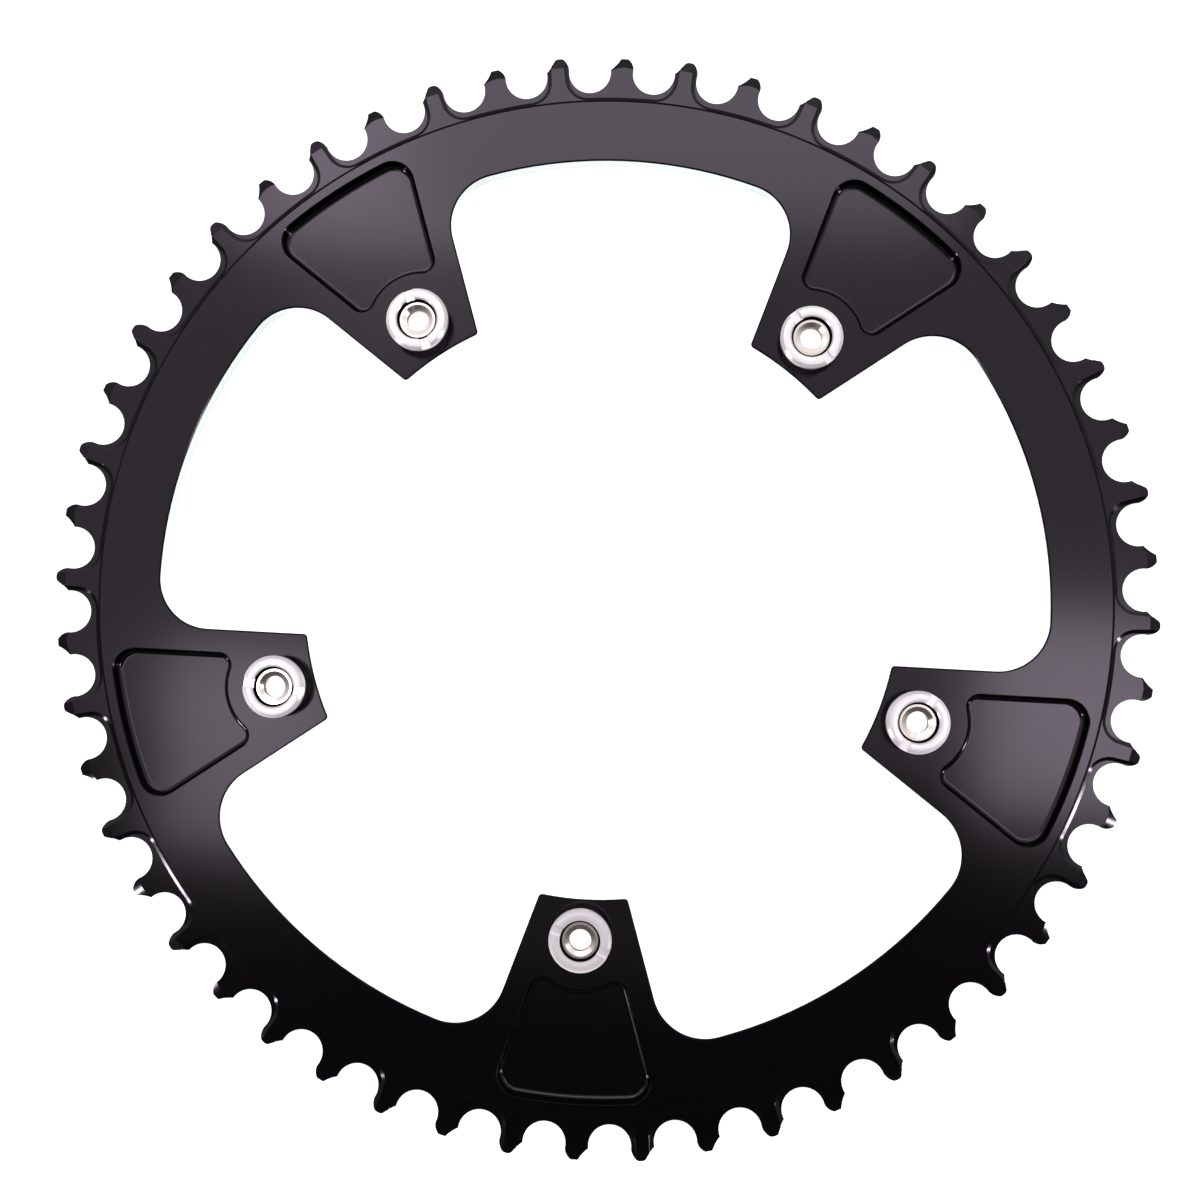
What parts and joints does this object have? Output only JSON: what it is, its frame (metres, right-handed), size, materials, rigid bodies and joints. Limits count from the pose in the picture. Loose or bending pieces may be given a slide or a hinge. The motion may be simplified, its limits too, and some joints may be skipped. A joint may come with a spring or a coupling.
{
  "type": "bicycle chainring",
  "caption": "Narrow-wide bicycle chainring with inward arms, pocketed faces and loosely fitted slotted sleeve nuts on hollow bolts.",
  "frame": {"origin": "ring axis at the flat outer face that the part lies on", "axes": "+Z along the ring axis towards the pockets and nut heads, one arm along -Y"},
  "size_m": [0.2162, 0.2162, 0.0092],
  "materials": {
    "black_anodised": "black anodised, satin",
    "polished_fastener": "polished"
  },
  "bodies": {
    "root": {"chainring": "black_anodised", "sleeve_nuts": "polished_fastener", "sleeve_bolts": "polished_fastener"}
  },
  "joints": []
}
